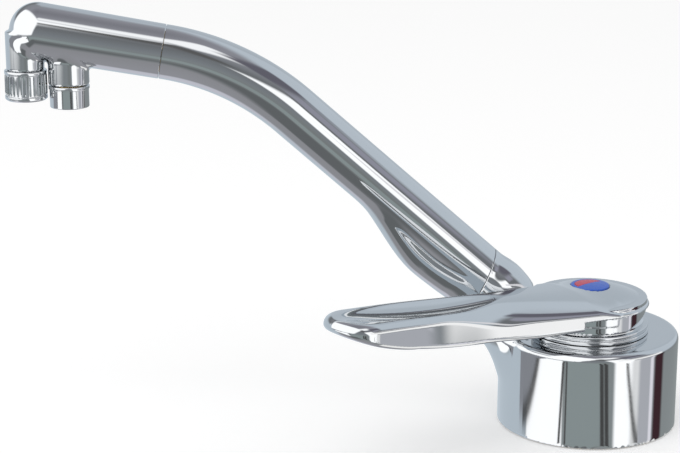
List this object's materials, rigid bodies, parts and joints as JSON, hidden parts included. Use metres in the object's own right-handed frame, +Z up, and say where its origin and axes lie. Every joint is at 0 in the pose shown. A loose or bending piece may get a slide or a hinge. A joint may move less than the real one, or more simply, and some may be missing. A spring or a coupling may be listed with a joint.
{
  "type": "single-lever mixer tap",
  "caption": "Single-lever mixer tap: a squat drum turns with its long rising spout and a head with two outlets; a long lever sits on top.",
  "frame": {"origin": "centre of the drum's underside, on the worktop", "axes": "+Z up along the drum's axis; -X along the spout at rest; the lever rests turned 34 degrees from the spout towards -Y"},
  "size_m": [0.2659, 0.1148, 0.1724],
  "materials": {
    "chrome": "polished chrome plate",
    "brass": "machined brass",
    "steel": "plain stainless steel",
    "rubber": "black moulded rubber",
    "black_plastic": "black slide-ring plastic",
    "white_plastic": "white moulded plastic",
    "ceramic": "lapped white ceramic",
    "blue_enamel": "glossy blue",
    "red_enamel": "glossy red"
  },
  "bodies": {
    "base": {"base_body": "brass", "base_gasket": "rubber", "swivel_stop_pin": "steel", "lower_slide_washer": "black_plastic", "lower_swivel_bush": "black_plastic", "upper_swivel_bush": "black_plastic", "lower_lip_seal": "rubber", "upper_lip_seal": "rubber", "upper_slide_ring": "black_plastic", "cover_ring": "chrome", "cartridge_seals": "rubber", "cartridge_base": "white_plastic", "fixed_ceramic_disc": "ceramic", "cartridge_housing": "white_plastic", "cartridge_nut": "brass"},
    "spout": {"spout_body": "chrome", "arm_nipple": "brass", "arm_nipple_rings": "rubber", "arm_grub_screw": "steel", "spout_arm": "chrome", "head_nipple": "brass", "head_nipple_rings": "rubber", "spout_head": "chrome", "aerator_washer": "rubber", "aerator_insert": "white_plastic", "aerator_collar": "chrome", "spray_stem": "brass", "spray_seal": "rubber"},
    "spray_selector": {"spray_sleeve": "chrome", "spray_plate": "white_plastic"},
    "cartridge_rotor": {"spindle_guide": "white_plastic", "spindle_pivot_pin": "steel"},
    "disc_slider": {"moving_ceramic_disc": "ceramic", "disc_carrier": "white_plastic"},
    "lever": {"lever": "chrome", "spindle": "brass", "lever_screw": "steel", "badge_blue": "blue_enamel", "badge_red": "red_enamel"}
  },
  "joints": [
    {"name": "spout_swivel", "type": "hinge", "parent": "base", "child": "spout", "pos_m": [0, 0, 0], "axis": [0, 0, 1], "range_deg": [-120, 0]},
    {"name": "spray_pull", "type": "slide", "parent": "spout", "child": "spray_selector", "axis": [0, 0, -1], "range_m": [0, 0.0024]},
    {"name": "lever_turn", "type": "hinge", "parent": "base", "child": "cartridge_rotor", "pos_m": [0, 0, 0], "axis": [0, 0, 1], "range_deg": [0, 90]},
    {"name": "lever_lift", "type": "hinge", "parent": "cartridge_rotor", "child": "lever", "pos_m": [0, 0, 0.03803], "axis": [-0.5592, 0.829, 0], "range_deg": [0, 20]},
    {"name": "disc_slide", "type": "slide", "parent": "cartridge_rotor", "child": "disc_slider", "axis": [-0.829, -0.5592, 0], "range_m": [0, 0.0034]}
  ],
  "couplings": [
    {"joint": "disc_slide", "follows": "lever_lift", "m_per_rad": 0.0093}
  ]
}
